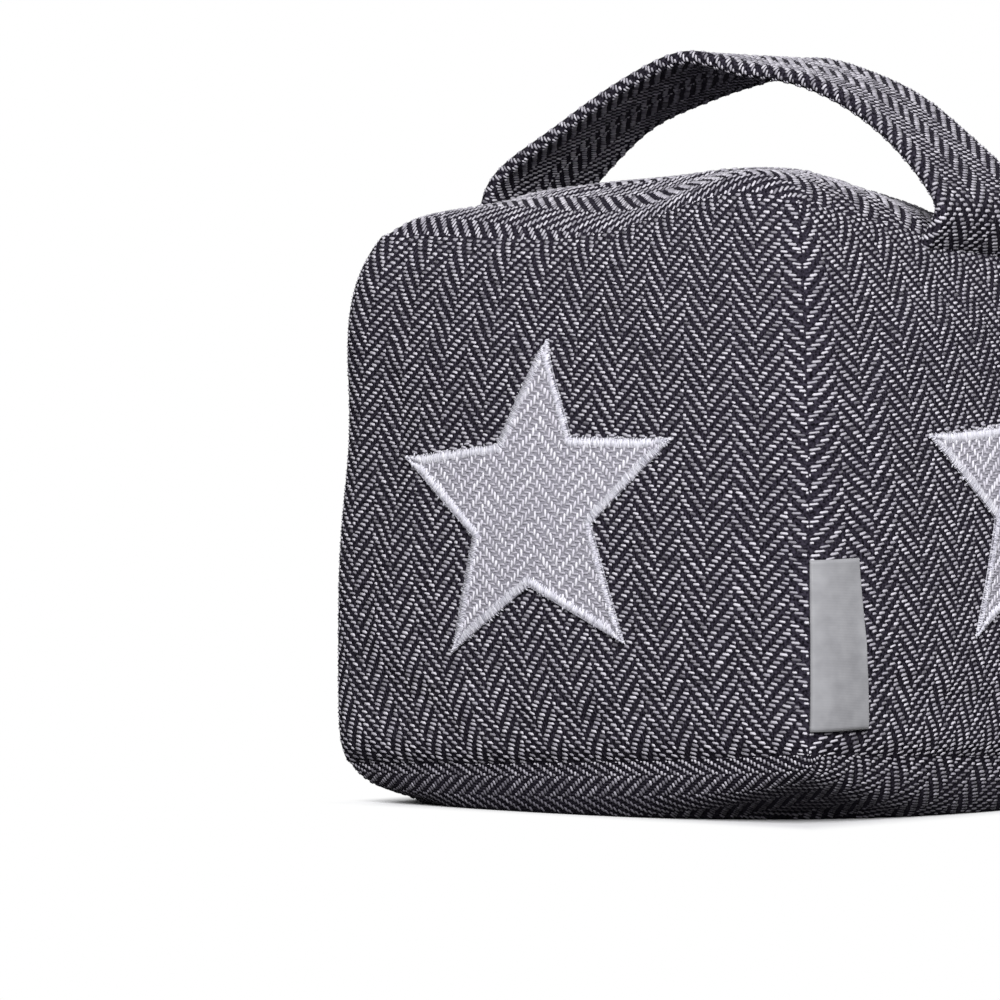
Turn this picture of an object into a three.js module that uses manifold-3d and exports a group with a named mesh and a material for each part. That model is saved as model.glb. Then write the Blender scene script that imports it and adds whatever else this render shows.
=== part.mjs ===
import * as THREE from "three";
import { mergeVertices } from "three/addons/utils/BufferGeometryUtils.js";
import Module from "manifold-3d";

// A weighted door stop: a sewn cube of herringbone cloth filled with sand, with a carry strap caught
// in two opposite top seams, a star stitched on two faces and a folded label in the seam between them.
// Millimetres, +Z up. The origin is the middle of the patch that it stands on.
// The two star faces look along -Y and +X, and the strap runs over the top along X.

// Clear space between two pieces that lie against each other.
const layGap = 0.3;

// The cover's four vertical seams. foot and head are the heights of the bottom and the top seam there,
// width and taper are half the distance between neighbours at the foot and what the head loses of it,
// and shoulder says how late it is lost: a high number keeps the seam upright up to a tight shoulder.
// waist is how far the seam is drawn in above its middle, and tuck how far its foot is.
const nearCorner = { foot: 16.5, head: 139.8, width: 70, taper: 14, shoulder: 4, waist: 0.8, tuck: 0.5 };
const leftCorner = { foot: 9.7, head: 134.6, width: 70.4, taper: 7.4, shoulder: 10, waist: 1.8, tuck: 1.7 };
const rightCorner = { foot: 12, head: 125.7, width: 70, taper: 11.8, shoulder: 6, waist: 1, tuck: 1 };
const farCorner = { foot: 10, head: 133, width: 70, taper: 9, shoulder: 8, waist: 1, tuck: 1 };

// Where the waist is and how far it and the tuck reach, as shares of the seam's height.
const waistRise = 0.64;
const waistReach = 0.18;
const tuckReach = 0.03;

// How the filling rounds each panel: seams bow out between corners, the cloth swells off each seam.
const footSeamBow = 3;
const headSeamBow = 3.5;
const sideCrown = 1.2;
const sideSwell = 3.2;
const sideSwellReach = 3.6;
const domeCrown = 11.3;
const domeSwell = 3.2;
const domeSwellReach = 3;
const domeLeanLeft = 0.1;
const domeLeanFront = 0.7;
const baseCrown = 14;
const baseSwell = 11;
const baseSwellReach = 2.1;
const baseCornerSwell = 3.4;
const baseCornerReach = 1.2;
const seamSag = 0.8;

// The front's top seam dips and rises again. waveLean says how far that is shifted to the near corner.
const frontSeamWave = 3.4;
const waveLean = 0.385;

// Carry strap: a flat tube of the same cloth with a round fold along both edges. It rises above the
// two seams that hold it and cups a little across its width.
const strapWidth = 38.7;
const strapThickness = 2.6;
const strapFoldRadius = 1.6;
const strapFoldTurn = 110;
const strapRise = 43.5;
const strapCup = 0.4;

// Points of the strap's middle line from seam to seam: how far across from the left seam to the right
// one, as a share of their distance, and how far up, as a share of the strap's rise.
const strapLine = [
  [0.024, -0.07], [-0.008, 0.023], [-0.024, 0.197], [-0.01, 0.354], [0.105, 0.602],
  [0.239, 0.796], [0.477, 1], [0.616, 0.958], [0.773, 0.829], [0.894, 0.63],
  [1.022, 0.317], [1.062, 0.199], [1.008, 0.023], [0.976, -0.07],
];

// Where the strap's edge towards +Y stands higher than its middle, as shares of its length.
const strapTwists = [
  { at: 0.245, spread: 0.084, lift: 1.8 },
  { at: 0.47, spread: 0.075, lift: -1.6 },
  { at: 0.537, spread: 0.072, lift: 1.8 },
  { at: 0.8, spread: 0.1, lift: -1.3 },
];

// Star appliques: the cloth, and the satin stitch that covers its edge. The span is from a star's
// middle to its points. A star's middle is placed along its panel from the middle line, and by height.
const starClothThickness = 0.7;
const starStitchWidth = 2.2;
const starStitchHeight = 1.3;
const starSpan = 40;
const frontStar = { along: -3, height: 69.5 };
const sideStar = { along: 10, height: 73.5 };

// The hand-cut star, point and notch by turns from the top point clockwise, as shares of its span.
const starOutline = [
  [0.01, 0.99], [0.24, 0.43], [0.96, 0.42], [0.42, -0.06], [0.66, -0.73],
  [-0.03, -0.42], [-0.62, -0.81], [-0.46, -0.14], [-1.03, 0.31], [-0.31, 0.39],
];

// Folded label that the near vertical seam holds: it starts beside the seam, and its fold stands off.
const labelWidth = 13.5;
const labelHeight = 38;
const labelThickness = 0.7;
const labelMiddleHeight = 40.5;
const labelSeamStart = 0.5;
const labelSeamLift = 0.15;
const labelFoldLift = 0.7;

// How finely the curved pieces are cut into facets.
const panelSteps = 22;
const panelCrowding = 0.6;
const strapSteps = 46;
const strapFoldSteps = 5;
const strapFlatSteps = 4;
const starEdgeSteps = 5;
const starRings = 4;
const labelSteps = 8;

// Vertices closer than this are one, and no triangle is smaller than the least area.
const weldDistance = 1e-3;
const leastArea = 1e-4;

const cloth = new THREE.MeshStandardMaterial({ color: 0x4a4a57, roughness: 0.95, metalness: 0 });
const strapCloth = new THREE.MeshStandardMaterial({ color: 0x55555f, roughness: 0.95, metalness: 0 });
const starCloth = new THREE.MeshStandardMaterial({ color: 0xc3c1cb, roughness: 0.9, metalness: 0 });
const stitchThread = new THREE.MeshStandardMaterial({ color: 0xe6e4ee, roughness: 0.7, metalness: 0 });
const labelSatin = new THREE.MeshStandardMaterial({ color: 0xb4b4b8, roughness: 0.5, metalness: 0 });

const wasm = await Module();
wasm.setup();

const { lerp } = THREE.MathUtils;
const up = new THREE.Vector3(0, 0, 1);

// The four upright panels in order round the cube, each from its start corner to its end corner.
const front = upright(1, 0, leftCorner, nearCorner, frontSeamWave);
const side = upright(0, 1, nearCorner, rightCorner, 0);
const back = upright(-1, 0, rightCorner, farCorner, 0);
const left = upright(0, -1, farCorner, leftCorner, 0);

function upright(alongX, alongY, start, end, wave) {
  const along = new THREE.Vector3(alongX, alongY, 0);
  return { along, out: along.clone().cross(up), start, end, wave };
}

// 0 on a seam, rising to 1 a few millimetres away from it.
function offSeam(distance, reach) {
  return 1 - Math.exp(-distance / reach);
}

// How far a vertical seam is from the cube's middle planes, from the bottom seam (rise 0) to the top (1).
function cornerOut(corner, rise) {
  const drawnIn = corner.waist * Math.exp(-(((rise - waistRise) / waistReach) ** 2));
  const tucked = corner.tuck * Math.exp(-rise / tuckReach);
  return corner.width - corner.taper * rise ** corner.shoulder - drawnIn - tucked;
}

function halfWidth(panel, across, rise) {
  return lerp(cornerOut(panel.start, rise), cornerOut(panel.end, rise), (across + 1) / 2);
}

function footSeam(panel, across) {
  const straight = lerp(panel.start.foot, panel.end.foot, (across + 1) / 2);
  return straight - seamSag * (1 - across ** 2);
}

function headSeam(panel, across) {
  const straight = lerp(panel.start.head, panel.end.head, (across + 1) / 2);
  const wave = panel.wave * Math.sin(Math.PI * (across - waveLean * (1 - across ** 2)));
  return straight - seamSag * (1 - across ** 2) + wave;
}

// A point of an upright panel: across runs -1 to 1 between its vertical seams, rise 0 to 1 upwards.
function uprightPoint(panel, across, rise) {
  const foot = footSeam(panel, across);
  const head = headSeam(panel, across);
  const half = halfWidth(panel, across, rise);
  const toSide = (1 - Math.abs(across)) * half;
  const toSeam = Math.min(rise, 1 - rise) * (head - foot);
  const swell = offSeam(toSide, sideSwellReach) * offSeam(toSeam, sideSwellReach);
  const round = 1 - across ** 2;
  const bow = lerp(footSeamBow, headSeamBow, rise) * round;
  const out = half + bow + sideCrown * round * 4 * rise * (1 - rise) + sideSwell * swell;
  return new THREE.Vector3()
    .addScaledVector(panel.along, across * half)
    .addScaledVector(panel.out, out)
    .addScaledVector(up, lerp(foot, head, rise));
}

// A point of the top (rise 1) or the base (rise 0): x and y run -1 to 1 between the seams round it.
function levelPoint(x, y, rise, crown, swell, reach) {
  const byX = (x + 1) / 2;
  const byY = (y + 1) / 2;
  const betweenRows = uprightPoint(front, x, rise).lerp(uprightPoint(back, -x, rise), byY);
  const betweenColumns = uprightPoint(left, -y, rise).lerp(uprightPoint(side, y, rise), byX);
  const startRow = uprightPoint(front, -1, rise).lerp(uprightPoint(front, 1, rise), byX);
  const endRow = uprightPoint(back, 1, rise).lerp(uprightPoint(back, -1, rise), byX);
  const point = betweenRows.add(betweenColumns).sub(startRow.lerp(endRow, byY));
  const half = halfWidth(front, 0, rise);
  const atRim = offSeam((1 - Math.abs(x)) * half, reach) * offSeam((1 - Math.abs(y)) * half, reach);
  point.z += crown * (1 - x ** 2) * (1 - y ** 2) + swell * atRim;
  return point;
}

// The filling under the top has settled towards the front and a little to the left.
function topPoint(x, y) {
  const settled = 1 - domeLeanLeft * x - domeLeanFront * y;
  return levelPoint(x, y, 1, domeCrown * settled, domeSwell * settled, domeSwellReach);
}

// The base hangs below its seam until the floor holds it, which leaves a flat patch.
function basePoint(x, y) {
  const atCorner = x ** 2 * y ** 2;
  const swell = lerp(baseSwell, baseCornerSwell, atCorner);
  const reach = lerp(baseSwellReach, baseCornerReach, atCorner);
  const point = levelPoint(x, y, 0, -baseCrown, -swell, reach);
  point.z = Math.max(point.z, 0);
  return point;
}

// Grid positions from -1 to 1, closer together near the seams.
const gridLines = Array.from({ length: panelSteps + 1 }, (_, i) => {
  const even = (2 * i) / panelSteps - 1;
  return lerp(even, Math.sin((Math.PI / 2) * even), panelCrowding);
});

// Adds a grid of points as triangles that face the side from which the grid runs right and up.
function addGrid(triangles, rows, flip) {
  for (let j = 0; j + 1 < rows.length; j++) {
    for (let i = 0; i + 1 < rows[j].length; i++) {
      const [a, b] = [rows[j][i], rows[j][i + 1]];
      const [d, c] = [rows[j + 1][i], rows[j + 1][i + 1]];
      triangles.push(...(flip ? [a, c, b, a, d, c] : [a, b, c, a, c, d]));
    }
  }
}

function geometryOf(triangles) {
  const geometry = new THREE.BufferGeometry().setFromPoints(triangles);
  return mergeVertices(geometry, weldDistance);
}

function gridOf(pointAt) {
  return gridLines.map((v) => gridLines.map((u) => pointAt(u, v)));
}

function coverGeometry() {
  const triangles = [];
  for (const panel of [front, side, back, left]) {
    addGrid(triangles, gridOf((u, v) => uprightPoint(panel, u, (v + 1) / 2)), false);
  }
  addGrid(triangles, gridOf(topPoint), false);
  addGrid(triangles, gridOf(basePoint), true);
  return geometryOf(triangles);
}

// The same closed surface moved outwards, to cut what lies against it.
function grown(geometry, distance) {
  const copy = geometry.clone();
  copy.computeVertexNormals();
  const { position, normal } = copy.attributes;
  for (let i = 0; i < position.count; i++) {
    const point = new THREE.Vector3().fromBufferAttribute(position, i);
    const away = new THREE.Vector3().fromBufferAttribute(normal, i);
    point.addScaledVector(away, distance);
    position.setXYZ(i, point.x, point.y, point.z);
  }
  return copy;
}

function solidOf(geometry) {
  const bare = geometry.clone().deleteAttribute("normal").deleteAttribute("uv");
  const merged = mergeVertices(bare, weldDistance);
  const mesh = new wasm.Mesh({
    numProp: 3,
    vertProperties: merged.attributes.position.array,
    triVerts: new Uint32Array(merged.index.array),
  });
  return new wasm.Manifold(mesh);
}

function geometryOfSolid(solid) {
  const mesh = solid.getMesh();
  const geometry = new THREE.BufferGeometry();
  geometry.setAttribute("position", new THREE.BufferAttribute(mesh.vertProperties, mesh.numProp));
  geometry.setIndex(new THREE.BufferAttribute(mesh.triVerts, 1));
  return geometry;
}

// The strap's middle line, in the plane across the cube: out of one seam, over the top, into the other.
function strapPath() {
  const root = uprightPoint(side, 0, 1);
  const leftRoot = uprightPoint(left, 0, 1);
  const points = strapLine.map(([across, rise]) => {
    return leftRoot.clone().lerp(root, across).addScaledVector(up, strapRise * rise);
  });
  return new THREE.CatmullRomCurve3(points);
}

function strapTwist(share) {
  return strapTwists.reduce((sum, { at, spread, lift }) => {
    return sum + lift * Math.exp(-(((share - at) / spread) ** 2));
  }, 0);
}

// The strap's cut end as pairs of width and thickness: flat between the round folds at its edges.
function strapSection() {
  const foldAt = strapWidth / 2 - strapFoldRadius;
  const flatEnd = foldAt - strapFoldRadius;
  const section = [];
  for (const edge of [1, -1]) {
    for (let i = 0; i <= strapFoldSteps; i++) {
      const angle = THREE.MathUtils.degToRad(lerp(-strapFoldTurn, strapFoldTurn, i / strapFoldSteps));
      const width = foldAt + strapFoldRadius * Math.cos(angle);
      section.push([edge * width, edge * strapFoldRadius * Math.sin(angle)]);
    }
    for (let i = 1; i < strapFlatSteps; i++) {
      const width = lerp(flatEnd, -flatEnd, i / strapFlatSteps);
      section.push([edge * width, (edge * strapThickness) / 2]);
    }
  }
  return section;
}

// The strap as swept, cut where the cover's seams take it in. The cut-off ends inside are dropped.
function strapGeometry(coverShape) {
  const path = strapPath();
  const section = strapSection();
  const rings = [];
  for (let i = 0; i <= strapSteps; i++) {
    const share = i / strapSteps;
    const middle = path.getPointAt(share);
    const forward = path.getTangentAt(share);
    const away = new THREE.Vector3(-forward.z, 0, forward.x);
    const cup = strapCup * Math.sin(Math.PI * share) ** 2;
    const twist = strapTwist(share);
    const ring = section.map(([width, thick]) => {
      const byWidth = (2 * width) / strapWidth;
      const lift = thick + cup * (1 - byWidth ** 2) + twist * byWidth;
      return middle.clone().addScaledVector(away, lift).setY(width);
    });
    rings.push([...ring, ring[0]]);
  }
  const triangles = [];
  addGrid(triangles, rings, false);
  for (const [ring, flip] of [[rings[0], true], [rings[strapSteps], false]]) {
    const hub = ring.slice(0, -1).reduce((sum, p) => sum.add(p), new THREE.Vector3());
    hub.divideScalar(section.length);
    for (let i = 0; i < section.length; i++) {
      triangles.push(...(flip ? [hub, ring[i + 1], ring[i]] : [hub, ring[i], ring[i + 1]]));
    }
  }
  const strap = solidOf(geometryOf(triangles)).subtract(solidOf(grown(coverShape, layGap)));
  const outsideFirst = strap.decompose().sort((a, b) => b.volume() - a.volume());
  return geometryOfSolid(outsideFirst[0]);
}

// A point at a place on an upright panel, given as millimetres along it and height, lifted off it.
function onPanel(panel, along, height, lift) {
  const tries = 12;
  const nudge = 0.01;
  let across = 0;
  let rise = 0.5;
  for (let i = 0; i < tries; i++) {
    const foot = footSeam(panel, across);
    rise = (height - foot) / (headSeam(panel, across) - foot);
    across = along / halfWidth(panel, across, rise);
  }
  const here = uprightPoint(panel, across, rise);
  const byAcross = uprightPoint(panel, across + nudge, rise).sub(uprightPoint(panel, across - nudge, rise));
  const byRise = uprightPoint(panel, across, rise + nudge).sub(uprightPoint(panel, across, rise - nudge));
  return here.addScaledVector(byAcross.cross(byRise).normalize(), lift);
}

// The star's outline moved inwards, with each of its straight edges cut into short steps.
function starLoop(inset) {
  const corners = starOutline.map(([x, y]) => new THREE.Vector2(x, y).multiplyScalar(starSpan));
  const moved = corners.map((corner, i) => {
    const before = corners.at(i - 1);
    const after = corners[(i + 1) % corners.length];
    const inward = corner.clone().sub(before).normalize();
    const onward = after.clone().sub(corner).normalize();
    const middle = new THREE.Vector2(inward.y + onward.y, -inward.x - onward.x).normalize();
    const sharpness = middle.dot(new THREE.Vector2(onward.y, -onward.x));
    return corner.clone().addScaledVector(middle, inset / sharpness);
  });
  return moved.flatMap((corner, i) => {
    const after = moved[(i + 1) % moved.length];
    return Array.from({ length: starEdgeSteps }, (_, k) => corner.clone().lerp(after, k / starEdgeSteps));
  });
}

// The star's cloth: a thin closed sheet that follows the panel.
function starClothGeometry(panel, place) {
  const edge = starLoop(starStitchWidth + layGap);
  const sheet = (lift) => {
    return Array.from({ length: starRings + 1 }, (_, ring) => {
      const points = edge.map((point) => {
        const share = ring / starRings;
        return onPanel(panel, place.along + point.x * share, place.height + point.y * share, lift);
      });
      return [...points, points[0]];
    });
  };
  const outer = sheet(layGap + starClothThickness);
  const inner = sheet(layGap);
  const triangles = [];
  addGrid(triangles, outer, false);
  addGrid(triangles, inner, true);
  addGrid(triangles, [outer.at(-1), inner.at(-1)], false);
  return geometryOf(dropSlivers(triangles));
}

// Leaves out the triangles of a grid whose first row is a single point.
function dropSlivers(triangles) {
  const kept = [];
  for (let i = 0; i < triangles.length; i += 3) {
    const [a, b, c] = triangles.slice(i, i + 3);
    const area = b.clone().sub(a).cross(c.clone().sub(a)).length() / 2;
    if (area > leastArea) kept.push(a, b, c);
  }
  return kept;
}

// The satin stitch: a low round ridge that runs round the star's edge.
function starStitchGeometry(panel, place) {
  const profile = [[0, 0], [0.1, 0.62], [0.5, 1], [0.9, 0.62], [1, 0]];
  const loops = profile.map(([inset, height]) => {
    const loop = starLoop(starStitchWidth * inset).map((point) => {
      const lift = layGap + starStitchHeight * height;
      return onPanel(panel, place.along + point.x, place.height + point.y, lift);
    });
    return [...loop, loop[0]];
  });
  const triangles = [];
  addGrid(triangles, [...loops, loops[0]], true);
  return geometryOf(triangles);
}

// The label: a folded tape, flat on the panel beside the seam, with its fold lifted a little.
function labelGeometry() {
  const sheet = (thick) => {
    return Array.from({ length: labelSteps + 1 }, (_, row) => {
      return Array.from({ length: labelSteps + 1 }, (_, column) => {
        const share = column / labelSteps;
        const height = labelMiddleHeight + labelHeight * (row / labelSteps - 0.5);
        const along = labelSeamStart + labelWidth * share - side.start.width;
        const lift = layGap + labelSeamLift + labelFoldLift * share ** 3 + thick;
        return onPanel(side, along, height, lift);
      });
    });
  };
  const outer = sheet(labelThickness);
  const inner = sheet(0);
  const ends = (rows) => [rows[0], rows.at(-1), rows.map((row) => row[0]), rows.map((row) => row.at(-1))];
  const [outFoot, outHead, outSeam, outFold] = ends(outer);
  const [inFoot, inHead, inSeam, inFold] = ends(inner);
  const triangles = [];
  addGrid(triangles, outer, false);
  addGrid(triangles, inner, true);
  addGrid(triangles, [inFoot, outFoot], false);
  addGrid(triangles, [outHead, inHead], false);
  addGrid(triangles, [outSeam, inSeam], false);
  addGrid(triangles, [inFold, outFold], false);
  return geometryOf(triangles);
}

function piece(name, geometry, material) {
  const mesh = new THREE.Mesh(geometry, material);
  mesh.name = name;
  return mesh;
}

const coverShape = coverGeometry();
const doorStop = new THREE.Group();
doorStop.add(
  piece("sand_filled_cover", coverShape, cloth),
  piece("carry_strap", strapGeometry(coverShape), strapCloth),
  piece("front_star_cloth", starClothGeometry(front, frontStar), starCloth),
  piece("front_star_stitching", starStitchGeometry(front, frontStar), stitchThread),
  piece("side_star_cloth", starClothGeometry(side, sideStar), starCloth.clone()),
  piece("side_star_stitching", starStitchGeometry(side, sideStar), stitchThread.clone()),
  piece("seam_label", labelGeometry(), labelSatin),
);

export default doorStop;
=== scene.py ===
# %% [markdown]
# # A sand-filled door stop in herringbone cloth
#
# The object is a cube of about 15 cm, sewn from six panels of wool-look herringbone and filled with
# sand. A strap of the same cloth is caught in two opposite top seams. A light star is stitched on two
# of its faces, and a folded tape sits in the seam between them.
#
# The shapes come from the same formulas and, but for a few millimetres of slack, the same numbers as
# the CAD model, so each dressed piece lies where its solid lies. What Blender adds is the cloth itself:
# the pull of the seams, the yarns that float over the surface, the stitches and the light.

import math

import bpy
import numpy as np
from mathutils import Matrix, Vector


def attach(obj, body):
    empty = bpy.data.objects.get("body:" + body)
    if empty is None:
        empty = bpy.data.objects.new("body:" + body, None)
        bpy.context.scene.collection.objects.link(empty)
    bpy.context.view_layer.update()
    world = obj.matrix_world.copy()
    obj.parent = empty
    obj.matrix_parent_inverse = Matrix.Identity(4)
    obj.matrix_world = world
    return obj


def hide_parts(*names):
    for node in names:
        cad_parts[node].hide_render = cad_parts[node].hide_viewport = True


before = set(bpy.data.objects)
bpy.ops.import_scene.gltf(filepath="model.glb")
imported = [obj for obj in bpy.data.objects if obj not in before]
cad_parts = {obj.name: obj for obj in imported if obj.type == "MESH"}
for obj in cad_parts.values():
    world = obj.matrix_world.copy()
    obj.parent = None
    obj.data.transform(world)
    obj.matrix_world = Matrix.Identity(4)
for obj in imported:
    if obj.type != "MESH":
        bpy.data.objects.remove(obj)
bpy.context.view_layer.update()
MM = 0.001

# %% [markdown]
# ## Camera
#
# The photo was taken from a low, distant stand: the floor's horizon lies a little above the middle of
# the picture, and the two star faces hardly converge. A long lens 1.35 m away repeats that. The camera
# looks past the object's middle because the photo cuts the right face off, and it needs no shift.

# %% Camera
CAMERA_AZIMUTH = math.radians(38)
CAMERA_DISTANCE = 1.350
CAMERA_HEIGHT = 0.086
CAMERA_AIM = Vector((-0.0480, -0.0375, 0.0718))
CAMERA_LENS = 203.4

camera = bpy.data.objects.new("camera", bpy.data.cameras.new("camera"))
bpy.context.scene.collection.objects.link(camera)
camera.data.lens = CAMERA_LENS
camera.location = (
    CAMERA_DISTANCE * math.sin(CAMERA_AZIMUTH),
    -CAMERA_DISTANCE * math.cos(CAMERA_AZIMUTH),
    CAMERA_HEIGHT,
)
camera.rotation_mode = "QUATERNION"
camera.rotation_quaternion = (CAMERA_AIM - camera.location).to_track_quat("-Z", "Y")
bpy.context.scene.camera = camera
print("camera to its aim, m:", round((CAMERA_AIM - camera.location).length, 3))

# %% [markdown]
# ## The cover's form
#
# Sand makes the cube slump. Each vertical seam keeps its own height and leans in at its shoulder, the
# seams bow out between the corners, and the cloth swells off every seam. The base hangs below its seam
# until the floor stops it.
#
# A sculpted mesh could show that too, but formulas keep every panel tied to the CAD model, and give
# each point of cloth an address that the weave can use later.

# %% The cover's measures, in millimetres
NEAR_CORNER = dict(foot=16.5, head=139.8, width=70, taper=14, shoulder=4, waist=0.8, tuck=0.5)
LEFT_CORNER = dict(foot=9.7, head=134.6, width=70.4, taper=7.4, shoulder=10, waist=1.8, tuck=1.7)
RIGHT_CORNER = dict(foot=12, head=125.7, width=70, taper=11.8, shoulder=6, waist=1, tuck=1)
FAR_CORNER = dict(foot=10, head=133, width=70, taper=9, shoulder=8, waist=1, tuck=1)
WAIST_RISE, WAIST_REACH, TUCK_REACH = 0.64, 0.18, 0.03
FOOT_SEAM_BOW, HEAD_SEAM_BOW = 3, 3.5
SIDE_CROWN, SIDE_SWELL, SIDE_SWELL_REACH = 1.2, 3.2, 3.6
DOME_CROWN, DOME_SWELL, DOME_SWELL_REACH = 11.3, 3.2, 3
DOME_LEAN_LEFT, DOME_LEAN_FRONT = 0.1, 0.7
BASE_CROWN, BASE_SWELL, BASE_SWELL_REACH = 14, 11, 2.1
BASE_CORNER_SWELL, BASE_CORNER_REACH = 3.4, 1.2
SEAM_SAG, FRONT_SEAM_WAVE, WAVE_LEAN = 0.8, 3.4, 0.385
UP = np.array([0.0, 0.0, 1.0])


def upright(along, start, end, wave=0.0):
    along = np.array([*along, 0.0])
    return dict(along=along, out=np.cross(along, UP), start=start, end=end, wave=wave)


UPRIGHT = {
    "front": upright((1, 0), LEFT_CORNER, NEAR_CORNER, FRONT_SEAM_WAVE),
    "side": upright((0, 1), NEAR_CORNER, RIGHT_CORNER),
    "back": upright((-1, 0), RIGHT_CORNER, FAR_CORNER),
    "left": upright((0, -1), FAR_CORNER, LEFT_CORNER),
}
FRONT, SIDE, BACK, LEFT = UPRIGHT.values()
print("seam heads at the corners, mm:", {name: face["start"]["head"] for name, face in UPRIGHT.items()})


# %% Points of an upright panel: across runs from -1 to 1, rise from 0 to 1
def lerp(a, b, share):
    return a + (b - a) * share


def off_seam(distance, reach):
    return 1 - np.exp(-distance / reach)


def corner_out(corner, rise):
    drawn_in = corner["waist"] * np.exp(-(((rise - WAIST_RISE) / WAIST_REACH) ** 2))
    tucked = corner["tuck"] * np.exp(-rise / TUCK_REACH)
    return corner["width"] - corner["taper"] * rise ** corner["shoulder"] - drawn_in - tucked


def half_width(panel, across, rise):
    return lerp(corner_out(panel["start"], rise), corner_out(panel["end"], rise), (across + 1) / 2)


def foot_seam(panel, across):
    straight = lerp(panel["start"]["foot"], panel["end"]["foot"], (across + 1) / 2)
    return straight - SEAM_SAG * (1 - across**2)


def head_seam(panel, across):
    straight = lerp(panel["start"]["head"], panel["end"]["head"], (across + 1) / 2)
    wave = panel["wave"] * np.sin(np.pi * (across - WAVE_LEAN * (1 - across**2)))
    return straight - SEAM_SAG * (1 - across**2) + wave


def upright_point(panel, across, rise):
    across, rise = np.broadcast_arrays(np.asarray(across, float), np.asarray(rise, float))
    foot, head = foot_seam(panel, across), head_seam(panel, across)
    half = half_width(panel, across, rise)
    to_side = (1 - np.abs(across)) * half
    to_seam = np.minimum(rise, 1 - rise) * (head - foot)
    swell = off_seam(to_side, SIDE_SWELL_REACH) * off_seam(to_seam, SIDE_SWELL_REACH)
    round_off = 1 - across**2
    out = half + lerp(FOOT_SEAM_BOW, HEAD_SEAM_BOW, rise) * round_off
    out = out + SIDE_CROWN * round_off * 4 * rise * (1 - rise) + SIDE_SWELL * swell
    height = lerp(foot, head, rise)
    return (
        (across * half)[..., None] * panel["along"]
        + out[..., None] * panel["out"]
        + height[..., None] * UP
    )


# %% Points of the top and the base: a patch stretched between the four seams round it
def level_point(x, y, rise, crown, swell, reach):
    by_x, by_y = ((x + 1) / 2)[..., None], ((y + 1) / 2)[..., None]
    one = np.ones_like(x)
    rows = lerp(upright_point(FRONT, x, rise), upright_point(BACK, -x, rise), by_y)
    columns = lerp(upright_point(LEFT, -y, rise), upright_point(SIDE, y, rise), by_x)
    start = lerp(upright_point(FRONT, -one, rise), upright_point(FRONT, one, rise), by_x)
    end = lerp(upright_point(BACK, one, rise), upright_point(BACK, -one, rise), by_x)
    point = rows + columns - lerp(start, end, by_y)
    half = half_width(FRONT, 0.0, rise)
    at_rim = off_seam((1 - np.abs(x)) * half, reach) * off_seam((1 - np.abs(y)) * half, reach)
    point[..., 2] += crown * (1 - x**2) * (1 - y**2) + swell * at_rim
    return point


def top_point(x, y):
    settled = 1 - DOME_LEAN_LEFT * x - DOME_LEAN_FRONT * y
    return level_point(x, y, 1.0, DOME_CROWN * settled, DOME_SWELL * settled, DOME_SWELL_REACH)


def base_point(x, y):
    at_corner = x**2 * y**2
    swell = lerp(BASE_SWELL, BASE_CORNER_SWELL, at_corner)
    reach = lerp(BASE_SWELL_REACH, BASE_CORNER_REACH, at_corner)
    point = level_point(x, y, 0.0, -BASE_CROWN, -swell, reach)
    point[..., 2] = np.maximum(point[..., 2], 0)
    return point


# %% Every panel by its name
PANEL_NAMES = (*UPRIGHT, "top", "base")


def panel_points(name, u, v):
    """Points of a panel, with u and v from -1 to 1: u to the right, v upwards or to the back."""
    if name in UPRIGHT:
        return upright_point(UPRIGHT[name], u, (v + 1) / 2)
    return top_point(u, v) if name == "top" else base_point(u, v)


def grid_of(name, lines):
    return panel_points(name, *np.meshgrid(lines, lines))


for name in PANEL_NAMES:
    middle = panel_points(name, np.zeros(1), np.zeros(1))[0]
    print(name, "panel's middle, mm:", np.round(middle, 1))


# %% [markdown]
# ## From arrays to a mesh
#
# The pieces hold many thousands of faces, so they are made with foreach_set, which copies whole arrays
# into the mesh at once. A closed surface made of several grids needs its shared edges joined, which is
# done here by rounding the places and keeping each one once.

# %% Mesh helpers
WELD = 1e-4


def make_mesh(name, points, faces, smooth=True):
    """A mesh object from points in millimetres and faces that all have as many corners."""
    mesh = bpy.data.meshes.new(name)
    mesh.vertices.add(len(points))
    mesh.vertices.foreach_set("co", (np.asarray(points) * MM).astype(np.float32).ravel())
    mesh.loops.add(faces.size)
    mesh.loops.foreach_set("vertex_index", faces.astype(np.int32).ravel())
    mesh.polygons.add(len(faces))
    mesh.polygons.foreach_set("loop_start", np.arange(0, faces.size, faces.shape[1], dtype=np.int32))
    mesh.update(calc_edges=True)
    if smooth:
        mesh.shade_smooth()
    made = bpy.data.objects.new(name, mesh)
    bpy.context.scene.collection.objects.link(made)
    return made


def weld(points):
    """Each place once, and for every point the number of its place."""
    _, first, place = np.unique(
        np.round(points / WELD).astype(np.int64), axis=0, return_index=True, return_inverse=True
    )
    return points[first], place.ravel()


def grid_faces(rows, columns, flip=False):
    start = (np.arange(rows - 1)[:, None] * columns + np.arange(columns - 1)).ravel()
    quad = [start, start + 1, start + columns + 1, start + columns]
    return np.stack(quad[::-1] if flip else quad, axis=1)


def normals_of(points, flip=False):
    """Outward unit normals of a grid of points."""
    normals = np.cross(np.gradient(points, axis=1), np.gradient(points, axis=0))
    normals /= np.linalg.norm(normals, axis=2, keepdims=True)
    return -normals if flip else normals


def add_uv(made, coordinates):
    layer = made.data.uv_layers.new(name="cloth")
    layer.data.foreach_set("uv", coordinates.astype(np.float32).ravel())


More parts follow.
